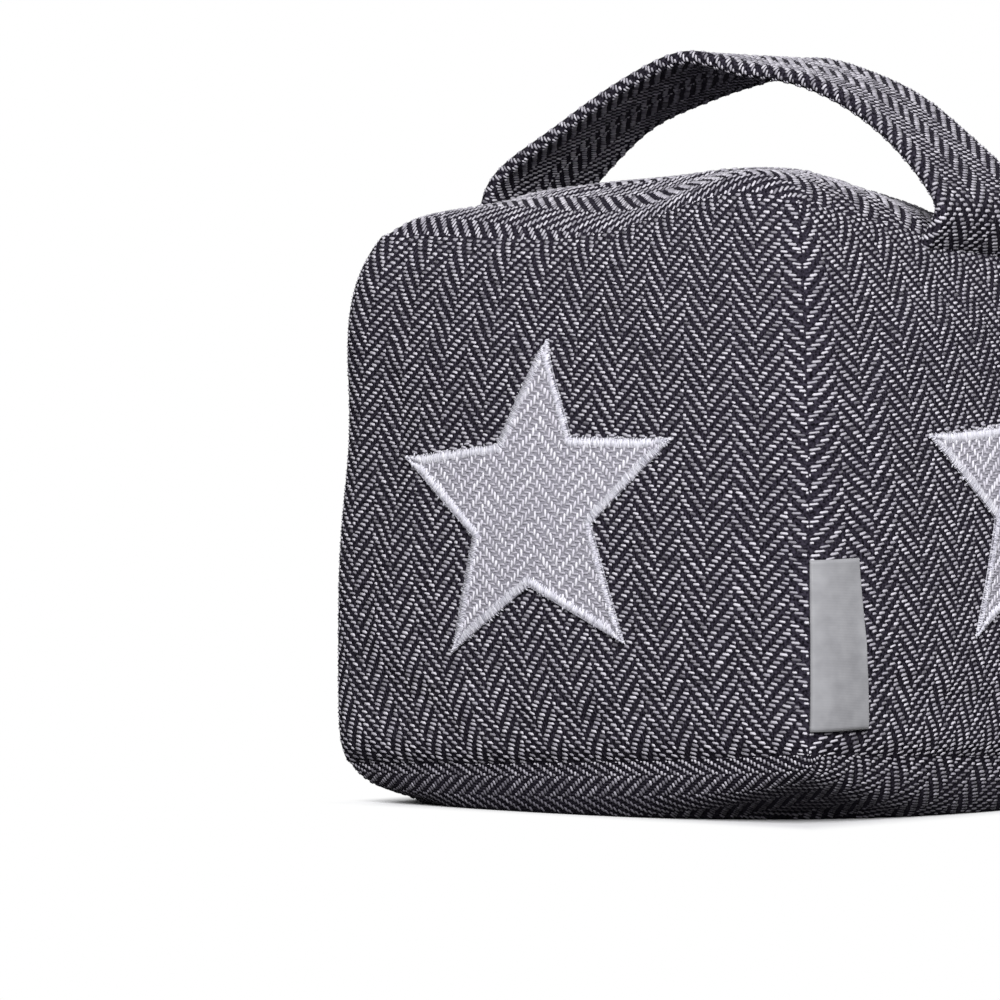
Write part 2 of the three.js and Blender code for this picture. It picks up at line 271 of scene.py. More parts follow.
# %% [markdown]
# ## Pulling the cloth over the filling
#
# A sewn cube never has smooth faces. The seam thread is a little tighter than the cloth, so the cloth
# gathers beside it, and the filling pushes it out in low waves. Noise could draw such waves, but they
# would run through the seams. Blender's cloth solver finds them as the real cube does: the seams
# shrink, the panels are cut a little large, and a light pressure holds them out. The result is kept as
# a height over each grid point. The panel's mean is taken off, so that the cube keeps its size, the
# rest is capped, and then it lifts a finer mesh of the same panels.

# %% The solver and its settings
SIM_STEPS = 44
SIM_FRAMES = 18
FLOOR_TOUCH = 0.4
SOLVER = dict(
    quality=6,
    mass=0.25,
    tension_stiffness=25,
    compression_stiffness=25,
    shear_stiffness=8,
    bending_stiffness=0.35,
    use_pressure=True,
    uniform_pressure_force=5.0,
    vertex_group_mass="pinned",
    vertex_group_shrink="seams",
    shrink_min=-0.022,  # the panels' ease
    shrink_max=0.035,  # the seams' pull
)


def settle(cloth, groups):
    """Where a cloth's points are, in metres, once the solver has run. The cloth is then removed."""
    for name, members in groups.items():
        cloth.vertex_groups.new(name=name).add([int(i) for i in members], 1.0, "REPLACE")
    solver = cloth.modifiers.new("solver", "CLOTH").settings
    for setting, value in SOLVER.items():
        setattr(solver, setting, value)
    solver.effector_weights.gravity = 0
    for step in range(1, SIM_FRAMES + 1):
        bpy.context.scene.frame_set(step)
    evaluated = cloth.evaluated_get(bpy.context.evaluated_depsgraph_get())
    moved = np.empty(len(cloth.data.vertices) * 3, np.float32)
    evaluated.data.vertices.foreach_get("co", moved)
    bpy.context.scene.frame_set(1)
    bpy.data.objects.remove(cloth)
    return moved.reshape(-1, 3)


# %% Simulate the panels
MOST_WAVE = 0.55
WAVE_FADE = 10


def fading_at_seams(lines, power):
    """A grid of shares: 1 over most of a panel and 0 at its seams."""
    share = 1 - np.abs(lines) ** power
    return np.outer(share, share)


def simulate_cover():
    """How high the solver's waves stand over each grid point, in millimetres, for each panel."""
    lines = np.linspace(-1, 1, SIM_STEPS + 1)
    size = len(lines)
    grids = {name: grid_of(name, lines) for name in PANEL_NAMES}
    points, place = weld(np.concatenate([grid.reshape(-1, 3) for grid in grids.values()]))
    places = dict(zip(grids, place.reshape(-1, size, size)))
    faces = [at.ravel()[grid_faces(size, size, name == "base")] for name, at in places.items()]
    cloth = make_mesh("cloth_trial", points, np.concatenate(faces))
    borders = [line for at in places.values() for line in (at[0], at[-1], at[:, 0], at[:, -1])]
    pinned = np.flatnonzero(points[:, 2] < FLOOR_TOUCH)
    settled = settle(cloth, dict(seams=np.unique(borders), pinned=pinned))
    shift = settled / MM - points
    waves = {}
    for name, grid in grids.items():
        height = (shift[places[name]] * normals_of(grid, name == "base")).sum(-1)
        height -= height[1:-1, 1:-1].mean()
        waves[name] = MOST_WAVE * np.tanh(height / MOST_WAVE) * fading_at_seams(lines, WAVE_FADE)
        print(name, "waves, mm:", np.round([waves[name].min(), waves[name].max()], 2))
    return waves


waves = simulate_cover()

# %% [markdown]
# ## The finished panels
#
# Each panel is a fine grid, denser beside its seams. Besides its points it carries two addresses:
# where a point lies on the object, and where it lies in the woven cloth. The second one turns a little
# against the first, because cloth is never cut and sewn quite square. The two faces with a star carry
# a third: where a point lies from the star's centre. Anything that sits on a panel later, from a yarn
# to a star, looks its place up in these grids.

# %% A finer grid, denser beside the seams
PANEL_STEPS = 84
PANEL_CROWDING = 0.55
even = np.linspace(-1, 1, PANEL_STEPS + 1)
PANEL_LINES = lerp(even, np.sin(np.pi / 2 * even), PANEL_CROWDING)
widest = float(np.diff(PANEL_LINES).max()) / 2
print("widest gap between grid lines, share of a panel:", round(widest, 4))


def cubic_resample(grid, lines):
    """A grid on even lines from -1 to 1, read at other lines in both directions."""
    for axis in (0, 1):
        rows = np.moveaxis(grid, axis, 0)
        at = (lines + 1) / 2 * (len(rows) - 1)
        low = np.clip(at.astype(int), 0, len(rows) - 2)
        t = (at - low)[:, None]
        a, b, c, d = (rows[np.clip(low + k, 0, len(rows) - 1)] for k in (-1, 0, 1, 2))
        rows = b + 0.5 * t * (c - a + t * (2 * a - 5 * b + 4 * c - d + t * (3 * (b - c) + d - a)))
        grid = np.moveaxis(rows, 0, axis)
    return grid


# %% A panel that can be asked for the point at any address
FIND_ROUNDS, FOUND_WITHIN = 14, 0.05


class Panel:
    """A grid of points with its normals and named addresses. Rows run upwards, columns across."""

    def __init__(self, points, flip=False, **addresses):
        self.points, self.flip, self.addresses = points, flip, addresses
        self.normals = normals_of(points, flip)

    @staticmethod
    def read(grid, column, row):
        i = np.clip(column.astype(int), 0, grid.shape[1] - 2)
        j = np.clip(row.astype(int), 0, grid.shape[0] - 2)
        s, t = column - i, row - j
        if grid.ndim == 3:
            s, t = s[:, None], t[:, None]
        return lerp(
            lerp(grid[j, i], grid[j, i + 1], s), lerp(grid[j + 1, i], grid[j + 1, i + 1], s), t
        )

    def find(self, address, a, b):
        """Column and row of each address (a, b), and whether the panel reaches it."""
        first, second = self.addresses[address]
        slopes = [np.gradient(grid, axis=axis) for grid in (first, second) for axis in (1, 0)]
        rows, columns = first.shape
        column, row = np.full(len(a), (columns - 1) / 2), np.full(len(a), (rows - 1) / 2)
        for _ in range(FIND_ROUNDS):
            miss_a, miss_b = a - self.read(first, column, row), b - self.read(second, column, row)
            aa, ab, ba, bb = (self.read(grid, column, row) for grid in slopes)
            size = aa * bb - ab * ba
            column = np.clip(column + (bb * miss_a - ab * miss_b) / size, 0, columns - 1)
            row = np.clip(row + (aa * miss_b - ba * miss_a) / size, 0, rows - 1)
        miss = np.hypot(a - self.read(first, column, row), b - self.read(second, column, row))
        return column, row, miss < FOUND_WITHIN

    def point(self, address, a, b, lift=0.0):
        """Points at addresses, lifted off the cloth. Past a border they stay on the border."""
        column, row, _ = self.find(address, a, b)
        lift = np.broadcast_to(lift, a.shape)[:, None]
        return self.read(self.points, column, row) + lift * self.read(self.normals, column, row)


# %% How the cloth lies on the upright faces
WEFT_TURN = {  # how steeply its picks run, at the foot and at the head
    "front": (0.035, 0.082),
    "side": (-0.05, -0.115),
    "back": (-0.02, -0.05),
    "left": (0.02, 0.05),
}
FACE_TOP = 130
PICK_EASE = 0.0005
MAP_MIDDLE, MAP_HALF_WIDTH, MAP_HALF_HEIGHT = 75, 70, 60
COLUMN_MAP = {  # powers of (across, up) from the face's middle: millimetres of cloth
    "front": {
        (0, 0): -60.1, (1, 0): 81.7, (2, 0): 2.1, (3, 0): -2.9, (0, 1): -0.8,
        (1, 1): 3.2, (2, 1): 2.7, (0, 2): -2.9, (1, 2): 8.6, (0, 3): 4.2,
    },
    "side": {
        (0, 0): 69.0, (1, 0): 95.4, (2, 0): 18.4, (0, 1): -3.2, (1, 1): -15.2,
        (2, 1): -14.8, (0, 2): 7.7, (1, 2): 12.9, (0, 3): -2.9,
    },
    "back": {(1, 0): 70.0, (0, 1): 0.8},
    "left": {(1, 0): 70.0, (0, 1): -0.8},
}
SEEN_TO = {"front": 2, "side": 0.05, "back": 2, "left": 2}  # past it the columns run on evenly
SEEN_BLEND = 0.12


def columns_of(name, along, height):
    """How far across the cloth a point of an upright face lies."""
    across = along / MAP_HALF_WIDTH
    beyond = SEEN_BLEND * np.log1p(np.exp((across - SEEN_TO[name]) / SEEN_BLEND))
    across, up = across - beyond, (height - MAP_MIDDLE) / MAP_HALF_HEIGHT
    mapped = sum(size * across**i * up**j for (i, j), size in COLUMN_MAP[name].items())
    return mapped + MAP_HALF_WIDTH * beyond


def picks_of(name, along, height):
    """How far up the cloth that point lies."""
    foot, head = WEFT_TURN[name]
    eased = height + PICK_EASE * (height - MAP_MIDDLE) ** 2
    return eased + lerp(foot, head, height / FACE_TOP) * along


# %% Addresses on the upright faces
STARS = {"front": (-3, 69.5, 0.0), "side": (8, 73, -0.04)}  # centre along and up, turn


def star_place(name, along, height):
    """Places on a face as its star has them: from its centre, and turned with it."""
    at, up, turn = STARS[name]
    along, height = along - at, height - up
    cos, sin = math.cos(turn), math.sin(turn)
    return cos * along + sin * height, cos * height - sin * along


def upright_addresses(name, points):
    along, height = points @ UPRIGHT[name]["along"], points[..., 2]
    cloth = columns_of(name, along, height), picks_of(name, along, height)
    addresses = dict(place=(along, height), cloth=cloth)
    if name in STARS:
        addresses["star"] = star_place(name, along, height)
    return addresses


# %% Addresses on the top and the base
LEVEL_TURN = {"top": -0.08, "base": 0.02}
LEVEL_SHEAR = {"top": 4, "base": 0}  # how far its yarns slide aside behind the front seam
SHEAR_FROM, SHEAR_REACH = 9, 10
LEVEL_GATHER = {"top": 0, "base": 9}  # how much cloth is gathered behind the front seam
GATHER_REACH = 9


def length_along(points, axis):
    """How much cloth lies between a grid's first row or column and each of its points."""
    steps = np.linalg.norm(np.diff(points, axis=axis), axis=2)
    return np.insert(steps.cumsum(axis=axis), 0, 0, axis=axis)


def level_addresses(name, points):
    x, y = points[..., 0], points[..., 1]
    from_seam, from_left = length_along(points, 0), length_along(points, 1)
    sideways = from_left - from_left[:, points.shape[1] // 2, None]
    turn = LEVEL_TURN[name]
    shear = LEVEL_SHEAR[name] * off_seam(np.maximum(from_seam - SHEAR_FROM, 0), SHEAR_REACH)
    gathered = LEVEL_GATHER[name] * off_seam(from_seam, GATHER_REACH)
    return dict(place=(x, y), cloth=(from_seam + gathered - turn * x, sideways + turn * y + shear))


# %% Dents beside the seams, where the cloth is gathered
DENTS = (  # panel, along, height, radius across, radius up, depth
    ("front", 44, 133, 9, 3.2, 0.7),
    ("front", 52, 121, 3.2, 9, 0.6),
    ("front", 30, 139, 7, 2.6, 0.5),
    ("front", -52, 126, 5, 7, 0.6),
    ("side", -48, 128, 6, 4, 0.6),
    ("side", -20, 122, 14, 3.0, 0.8),
    ("front", -50, 22, 8, 4, 0.6),
    ("front", 6, 20, 16, 3.4, 0.5),
    ("side", -30, 24, 13, 3.6, 0.6),
    ("back", 30, 122, 10, 4, 0.7),
    ("left", 12, 124, 12, 3.4, 0.8),
    ("top", 6, -57, 20, 8, 2.4),
)


def dents(name, along, height):
    depths = [
        depth * np.exp(-(((along - a) / wide) ** 2) - ((height - h) / tall) ** 2)
        for panel, a, h, wide, tall, depth in DENTS
        if panel == name
    ]
    return sum(depths, np.zeros_like(along))


# %% Finish the panels
LIFT_FADE = 12


def finished_panel(name):
    points = grid_of(name, PANEL_LINES)
    if name in UPRIGHT:
        addresses = upright_addresses(name, points)
        lift = -dents(name, *addresses["place"])
    else:
        points[..., 2] -= dents(name, points[..., 0], points[..., 1])
        addresses = level_addresses(name, points)
        lift = np.zeros(points.shape[:2])
    if waves is not None:
        lift += cubic_resample(waves[name], PANEL_LINES)
    lift *= fading_at_seams(PANEL_LINES, LIFT_FADE)
    points = points + lift[..., None] * normals_of(points, name == "base")
    points[..., 2] = np.maximum(points[..., 2], 0)
    return Panel(points, flip=(name == "base"), **addresses)


panels = {name: finished_panel(name) for name in PANEL_NAMES}


# %% One closed cover from the six panels
def make_cover():
    grids = [panel.points for panel in panels.values()]
    points, place = weld(np.concatenate([grid.reshape(-1, 3) for grid in grids]))
    size = PANEL_STEPS + 1
    faces = [
        number * size**2 + grid_faces(size, size, flip=panel.flip)
        for number, panel in enumerate(panels.values())
    ]
    cover = make_mesh("herringbone_cover", points, place[np.concatenate(faces)])
    cloth = [np.stack(panel.addresses["cloth"], axis=-1).reshape(-1, 2) for panel in panels.values()]
    add_uv(cover, np.concatenate(cloth)[np.concatenate(faces)] * MM)
    return cover


cover = make_cover()
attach(cover, "root")
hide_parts("sand_filled_cover")
print("cover faces:", len(cover.data.polygons))

# %% [markdown]
# ## Yarns
#
# From a step away the cloth is a pattern of light dashes on near-black. Each dash is a light weft yarn
# that passes over two dark warp yarns before it dives again. The dashes shift by one warp yarn from
# row to row, which makes the twill's diagonal, and every eight yarns the diagonal turns round: that is
# herringbone.
#
# An image or a bump map would show this face on, but it goes flat where the cloth turns away from the
# eye: there the raised yarns hide the dark ground, and the cloth looks lighter. So each float is a
# small spindle of its own, placed by the weaver's draft. The cover, the strap and the stars are all
# woven of such spindles, and the stitches are made of them too.

# %% The draft: which weft floats show in a repeat of 16 warp yarns and 4 picks
ENTRY = (0, 1, 2, 3, 0, 1, 2, 3, 1, 0, 3, 2, 1, 0, 3, 2)
ENDS, PICKS = len(ENTRY), 4


def draft():
    """(pick, first end, how many ends) of each weft float in a repeat."""
    floats = []
    for pick in range(PICKS):
        over = [(pick + entry) % PICKS < PICKS / 2 for entry in ENTRY]
        for end in range(ENDS):
            if over[end] and not over[end - 1]:
                length = 1
                while over[(end + length) % ENDS]:
                    length += 1
                floats.append((pick, end, length))
    return floats


DRAFT = draft()
print("floats in a repeat:", len(DRAFT), "lengths:", sorted({length for _, _, length in DRAFT}))

# %% Spindles
YARN_TONES = 5
FLANK_RISE = -0.3
random = np.random.RandomState(7)


class Spindles:
    """Many small closed yarns: each has two tips and, between them, rings of three points."""

    def __init__(self, stations=(-1, -0.62, 0.62, 1), heights=(-0.4, 0.9, 0.9, -0.4)):
        self.stations, self.heights = np.array(stations), np.array(heights)
        self.addresses, self.lifts, self.faces, self.tones = [], [], [], []
        self.count = 0
        self.pattern = self.spindle_faces()

    def spindle_faces(self):
        rings = len(self.stations) - 2
        faces = [(0, 1 + (k + 1) % 3, 1 + k) for k in range(3)]
        for ring in range(rings - 1):
            for k in range(3):
                a, b = 1 + 3 * ring + k, 1 + 3 * ring + (k + 1) % 3
                faces += [(a, b, b + 3), (a, b + 3, a + 3)]
        last = 1 + 3 * (rings - 1)
        tip = last + 3
        faces += [(tip, last + k, last + (k + 1) % 3) for k in range(3)]
        return np.array(faces)

    def add(self, a, b, along, half_length, half_width, height, tones):
        """Spindles round the addresses (a, b): along is the direction they lie in, one (x, y) each."""
        along = along / np.linalg.norm(along, axis=1, keepdims=True)
        across = np.stack([-along[:, 1], along[:, 0]], axis=1)
        columns = []
        for number, (station, rise) in enumerate(zip(self.stations, self.heights)):
            tip = number in (0, len(self.stations) - 1)
            ring = ((0, rise),) if tip else ((-1, FLANK_RISE), (0, rise), (1, FLANK_RISE))
            for side, up in ring:
                x = station * half_length[:, None] * along + side * half_width[:, None] * across
                columns.append((a + x[:, 0], b + x[:, 1], up * height))
        table = np.array(columns)
        self.addresses.append(np.moveaxis(table[:, :2], 2, 0).reshape(-1, 2))
        self.lifts.append(table[:, 2].T.ravel())
        each = table.shape[0]
        starts = self.count + each * np.arange(len(a))
        self.faces.append((starts[:, None, None] + self.pattern).reshape(-1, 3))
        self.tones.append(np.repeat(tones, len(self.pattern)))
        self.count += each * len(a)

    def make(self, name, panel, address, lift, materials):
        ab = np.concatenate(self.addresses)
        lifts = np.concatenate(self.lifts) + lift
        points = panel.point(address, ab[:, 0], ab[:, 1], lifts)
        made = make_mesh(name, points, np.concatenate(self.faces))
        for material in materials:
            made.data.materials.append(material)
        made.data.polygons.foreach_set("material_index", np.concatenate(self.tones).astype(np.int32))
        print(name, "faces:", len(made.data.polygons))
        return made


# %% [markdown]
# ## Finishes
#
# The warp is a dull near-black navy and the weft a light grey with a trace of violet. No two floats
# are equally bright, because the yarn is uneven and some of it lies deeper, so the weft comes in five
# tones. All are rough, and the light yarns have a little sheen, which is what fine fibres do to light.
#
# Each material is a small tree of shader nodes. Two helpers keep them short: one adds a node with its
# values, the other joins sockets.


# %% Node helpers
def add_node(tree, kind, sockets=None, **settings):
    """A shader node with its settings and with the values on its sockets."""
    node = tree.nodes.new("ShaderNode" + kind)
    for setting, value in settings.items():
        setattr(node, setting, value)
    for socket, value in (sockets or {}).items():
        node.inputs[socket].default_value = value
    return node


def wire(tree, *links):
    """Joins sockets, which come in pairs."""
    for source, target in links:
        tree.links.new(source, target)


def linear(*levels):
    """The shader's colour for red, green and blue as a picture holds them, from 0 to 255."""
    shares = [level / 255 for level in levels]
    return tuple(s / 12.92 if s < 0.04045 else ((s + 0.055) / 1.055) ** 2.4 for s in shares)


def add_ramp(tree, dark, light, start, end):
    """A colour ramp from one colour, at the share start, to another, at the share end."""
    ramp = add_node(tree, "ValToRGB")
    for element, at, colour in zip(ramp.color_ramp.elements, (start, end), (dark, light)):
        element.position = at
        element.color = (*linear(*colour), 1)
    return ramp


# %% Materials of cloth and thread
SHEEN_ROUGHNESS = 0.5
CLOTH_SPECULAR, WARP_SPECULAR = 0.25, 0.05


def new_material(name, colour, roughness, sheen=0.0, specular=CLOTH_SPECULAR):
    """A Principled material whose constants sit on the shader's own sockets."""
    material = bpy.data.materials.new(name)
    material.use_nodes = True
    shader = material.node_tree.nodes["Principled BSDF"]
    shader.inputs["Base Color"].default_value = (*colour, 1)
    shader.inputs["Roughness"].default_value = roughness
    shader.inputs["Sheen Weight"].default_value = sheen
    shader.inputs["Sheen Roughness"].default_value = SHEEN_ROUGHNESS
    shader.inputs["Specular IOR Level"].default_value = specular
    material.diffuse_color = (*colour, 1)
    return material, material.node_tree, shader


def noise_bump(tree, shader, scale, distance, strength=1.0):
    """Fine fibres: a noise in the object's own space that tilts the surface."""
    place = add_node(tree, "TexCoord")
    noise = add_node(tree, "TexNoise", {"Scale": scale, "Detail": 3})
    bump = add_node(tree, "Bump", {"Strength": strength, "Distance": distance})
    wire(
        tree,
        (place.outputs["Object"], noise.inputs["Vector"]),
        (noise.outputs["Fac"], bump.inputs["Height"]),
        (bump.outputs["Normal"], shader.inputs["Normal"]),
    )


def yarn_tones(name, levels, roughness, sheen, scale, distance):
    """A material for each tone of a yarn, from the darkest to the lightest."""
    tones = []
    for number, level in enumerate(levels):
        tone, tree, shader = new_material(f"{name}_{number}", linear(*level), roughness, sheen)
        noise_bump(tree, shader, scale, distance, strength=0.6)
        tones.append(tone)
    print(name, "tones:", len(tones))
    return tones


# %% Weft yarns in five tones
WEFT_LEVELS = ((96, 93, 102), (126, 123, 132), (152, 149, 159), (174, 171, 180), (196, 193, 202))
weft_tones = yarn_tones(
    "weft_yarn", WEFT_LEVELS, roughness=0.9, sheen=0.15, scale=4200, distance=0.00012
)

# %% The dark warp between them: a ridge for each yarn, with uneven fibres
END, PICK = 0.958, 0.90
WARP_DARK, WARP_LIGHT = (11, 9, 16), (62, 58, 70)


def band_scale(spacing):
    """The wave texture's scale for bands that are so many metres apart."""
    return 2 * math.pi / (20 * spacing)


warp_cloth, tree, shader = new_material(
    "warp_cloth", linear(*WARP_DARK), 1.0, specular=WARP_SPECULAR
)
place = add_node(tree, "UVMap", uv_map="cloth")
ridges = add_node(
    tree, "TexWave", {"Scale": band_scale(END * MM), "Distortion": 0.6, "Detail Scale": 3}
)
fibres = add_node(tree, "TexNoise", {"Scale": 1600, "Detail": 4})
ramp = add_ramp(tree, WARP_DARK, WARP_LIGHT, start=0.38, end=0.72)
fibres_and_ridges = add_node(tree, "Math", {1: 1.5}, operation="MULTIPLY_ADD")
bump = add_node(tree, "Bump", {"Distance": 0.0001})
wire(
    tree,
    (place.outputs["UV"], ridges.inputs["Vector"]),
    (place.outputs["UV"], fibres.inputs["Vector"]),
    (fibres.outputs["Fac"], ramp.inputs["Fac"]),
    (ramp.outputs["Color"], shader.inputs["Base Color"]),
    (fibres.outputs["Fac"], fibres_and_ridges.inputs[0]),
    (ridges.outputs["Fac"], fibres_and_ridges.inputs[2]),
    (fibres_and_ridges.outputs[0], bump.inputs["Height"]),
    (bump.outputs["Normal"], shader.inputs["Normal"]),
)
cover.data.materials.append(warp_cloth)
print("warp ridges in a metre:", round(1 / (END * MM)))

# %% [markdown]
# ## Weaving the cover
#
# The floats are laid panel by panel. Where the herringbone turns round is read off the photo for the
# two star faces; the hidden faces start anywhere, as they would when the panels are cut from one
# length of cloth. Floats that would run past a seam end there, as they do where the cloth turns in.
# Close to the floor the light yarns come in darker tones.

# %% How much one yarn differs from the next
TONE_MIDDLE, TONE_SPREAD = 2.6, 1.0
# Light yarns are drawn darker towards the floor: by so many tones at the floor, and not at all above so
# many millimetres.
DARKENING_TONES, DARKENING_HEIGHT = 4, 13


def varied(size, spread, count):
    """A size for each of so many yarns, give or take."""
    return size * (1 + random.normal(0, spread, count))


def tones_for(count):
    """A tone for each yarn: mostly the middle ones."""
    tones = np.round(random.normal(TONE_MIDDLE, TONE_SPREAD, count))
    return np.clip(tones, 0, YARN_TONES - 1).astype(int)


def darkened_near_floor(height):
    """How many tones a yarn is darkened by: the more, the closer it lies to the floor."""
    return DARKENING_TONES * np.clip(1 - height / DARKENING_HEIGHT, 0, 1)


# %% Lay the floats of one cloth
FLOAT_HALF_WIDTH, FLOAT_HEIGHT = 0.41, 0.26
FLOAT_REACH = 1.18  # how much longer a float is than the yarns it covers are wide
LONE_REACH = 1.15  # and more so where it covers only one
PLACE_SPREAD, TURN_SPREAD, LENGTH_SPREAD, WIDTH_SPREAD, HEIGHT_SPREAD = 0.05, 0.05, 0.06, 0.1, 0.15
SPAN_SHARES = np.array([-0.5, -0.25, 0.0, 0.25, 0.5])  # where a float is tried for a seam
LEAST_SPAN, WHOLE_SPAN = 0.2, 0.9


def repeats_over(grid, start, size):
    """The numbers of the weave's repeats that cover a panel in one direction."""
    return np.arange(math.floor((grid.min() - start) / size), math.ceil((grid.max() - start) / size))


def span_on(panel, a, b, length, end):
    """Where each float starts and ends on the panel, as shares of its length from its middle."""
    on_it = np.stack([panel.find("cloth", a + share * length * end, b)[2] for share in SPAN_SHARES])
    first = SPAN_SHARES[on_it.argmax(axis=0)]
    last = SPAN_SHARES[::-1][on_it[::-1].argmax(axis=0)]
    return first, last, on_it.any(axis=0) & (last - first > LEAST_SPAN)


def weft_floats(panel, spindles, end, pick, start, slant=0.0, kept=None):
    """Adds every weft float that lies on the panel. start is the warp yarn count's origin."""
    weft, warp = panel.addresses["cloth"]
    across, up = repeats_over(weft, start, ENDS * end), repeats_over(warp, 0, PICKS * pick)
    repeat_a, repeat_b = (grid.ravel() for grid in np.meshgrid(across, up))
    for pick_number, first_end, length in DRAFT:
        a = start + (ENDS * repeat_a + first_end + length / 2) * end
        b = (PICKS * repeat_b + pick_number + 0.5) * pick
        column, row, _ = panel.find("cloth", a, b)
        points = panel.read(panel.points, column, row)
        first, last, on_it = span_on(panel, a, b, length, end)
        if kept is not None:
            on_it &= kept(points)
        a, b = (a + (first + last) / 2 * length * end)[on_it], b[on_it]
        span, floor_gap = (last - first)[on_it], points[on_it, 2]
        count = len(a)
        b = b + random.normal(0, PLACE_SPREAD, count)
        rise = slant + random.normal(0, TURN_SPREAD, count)
        half_length = varied(span * length / 2 * end * FLOAT_REACH, LENGTH_SPREAD, count)
        if length == 1:
            half_length *= LONE_REACH
        half_width = varied(FLOAT_HALF_WIDTH, WIDTH_SPREAD, count)
        height = varied(FLOAT_HEIGHT, HEIGHT_SPREAD, count)
        # Yarns close to the floor are drawn some tones darker.
        tones = np.where(span < WHOLE_SPAN, YARN_TONES - 1, tones_for(count)) - darkened_near_floor(floor_gap)
        tones = np.clip(np.round(tones), 0, YARN_TONES - 1).astype(int)
        direction = np.stack([np.ones(count), rise], axis=1)
        spindles.add(a, b, direction, half_length, half_width, height, tones)
    return spindles


# %% What hides floats: the stars, the label and the floor
STAR_SPAN = 40
STAR_OUTLINE = np.array([
    (0.01, 0.99), (0.24, 0.43), (0.96, 0.42), (0.42, -0.06), (0.66, -0.73),
    (-0.03, -0.42), (-0.62, -0.81), (-0.46, -0.14), (-1.03, 0.31), (-0.31, 0.39),
]) * STAR_SPAN
HIDDEN_SHARE = 0.98
LABEL_WIDTH, LABEL_HEIGHT, LABEL_MIDDLE = 13.5, 38, 40.5
LABEL_GAP, LABEL_RIM = 0.1, 1
LABEL_FROM = -NEAR_CORNER["width"] + LABEL_GAP


def inside_outline(x, y, outline):
    """Whether points are inside a closed outline: how often a ray to the right crosses it is odd."""
    crossings = np.zeros(x.shape, int)
    for (x0, y0), (x1, y1) in zip(outline, np.roll(outline, -1, axis=0)):
        spans = (y0 > y) != (y1 > y)
        at = x0 + (y - y0) * (x1 - x0) / (y1 - y0)
        crossings += spans & (x < at)
    return crossings % 2 == 1


def under_star(name, along, height):
    return inside_outline(*star_place(name, along, height), STAR_OUTLINE * HIDDEN_SHARE)


def under_label(along, height):
    beside = along < LABEL_FROM + LABEL_WIDTH - LABEL_RIM
    return beside & (abs(height - LABEL_MIDDLE) < LABEL_HEIGHT / 2 - LABEL_RIM)


def clear_of_front(points):
    return ~under_star("front", points[:, 0], points[:, 2])


def clear_of_side(points):
    along, height = points[:, 1], points[:, 2]
    return ~(under_label(along, height) | under_star("side", along, height))


def above_floor(points):
    return points[:, 2] > FLOOR_TOUCH


print("star, mm:", np.ptp(STAR_OUTLINE, axis=0).round(1), "label, mm:", LABEL_WIDTH, LABEL_HEIGHT)

# %% Weave the six panels
FLOAT_LIFT = 0.02
WEAVES = {  # panel: (warp spacing, pick spacing, origin, slant of the floats, what stays)
    "front": (END, 0.93, 0.0, -0.07, clear_of_front),
    "side": (END, 0.965, 0.0, 0.08, clear_of_side),
    "back": (END, PICK, 5.0, 0.05, None),
    "left": (END, PICK, -3.0, -0.05, None),
    "top": (END, PICK, -5.4, 0.0, None),
    "base": (END, PICK, 6.0, 0.05, above_floor),
}
for name, (end, pick, start, slant, kept) in WEAVES.items():
    woven = weft_floats(panels[name], Spindles(), end, pick, start, slant, kept)
    floats = woven.make(f"{name}_weft", panels[name], "cloth", FLOAT_LIFT, weft_tones)
    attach(floats, "root")


# %% [markdown]
# ## The carry strap
#
# The strap is a tube of the same cloth pressed flat. Its fold on either side is round and shows the
# floats end on, like beads. It is swept along its path rather than simulated, because a remesh would
# erase something this thin. The path and its twist repeat the CAD model's numbers, but each foot
# bulges a few millimetres out over its seam, as turned-in cloth does.

# %% Strap path
STRAP_WIDTH, STRAP_THICKNESS, STRAP_FOLD = 38.7, 2.6, 1.6
STRAP_RISE, STRAP_CUP = 43.5, 0.4
STRAP_LINE = (  # share of the way from seam to seam, and share of the rise
    (0.003, -0.08), (-0.032, 0.03), (-0.032, 0.19), (-0.01, 0.354), (0.105, 0.602),
    (0.239, 0.796), (0.477, 1), (0.616, 0.958), (0.773, 0.829), (0.894, 0.63),
    (1.022, 0.317), (1.056, 0.17), (1.036, 0.03), (0.995, -0.08),
)
CURVE_STEPS = 60


def curve_span(p0, p1, p2, p3):
    """The part from p1 to p2 of a smooth curve. Its knots are as far apart as the root of the way."""
    d0, d1, d2 = (np.sqrt(np.linalg.norm(b - a)) for a, b in ((p0, p1), (p1, p2), (p2, p3)))
    out = ((p1 - p0) / d0 - (p2 - p0) / (d0 + d1) + (p2 - p1) / d1) * d1
    into = ((p2 - p1) / d1 - (p3 - p1) / (d1 + d2) + (p3 - p2) / d2) * d1
    t = np.linspace(0, 1, CURVE_STEPS, endpoint=False)[:, None]
    bend, settle_in = 3 * (p2 - p1) - 2 * out - into, 2 * (p1 - p2) + out + into
    return p1 + out * t + bend * t**2 + settle_in * t**3


def strap_path():
    left, right = upright_point(LEFT, 0, 1), upright_point(SIDE, 0, 1)
    points = [lerp(left, right, across) + STRAP_RISE * rise * UP for across, rise in STRAP_LINE]
    points = np.array(points)[:, [0, 2]]
    points = np.vstack([2 * points[0] - points[1], points, 2 * points[-1] - points[-2]])
    spans = [curve_span(*four) for four in zip(points, points[1:], points[2:], points[3:])]
    return np.vstack([*spans, points[-2][None]])


strap_curve = strap_path()
print("strap's highest point, mm:", round(float(strap_curve[:, 1].max()), 1))

# %% Sweep the strap
STRAP_STEPS = 150
FOLD_STEPS, FLAT_STEPS = 10, 16
FOLD_TURN = 110
STRAP_TWISTS = (  # where the +Y edge stands higher: share of the length, spread, lift
    (0.245, 0.084, 1.8), (0.47, 0.075, -1.6), (0.537, 0.072, 1.8), (0.8, 0.1, -1.3),
)


def length_of(line):
    """How far along a line each of its points is."""
    return np.concatenate([[0], np.cumsum(np.linalg.norm(np.diff(line, axis=0), axis=1))])


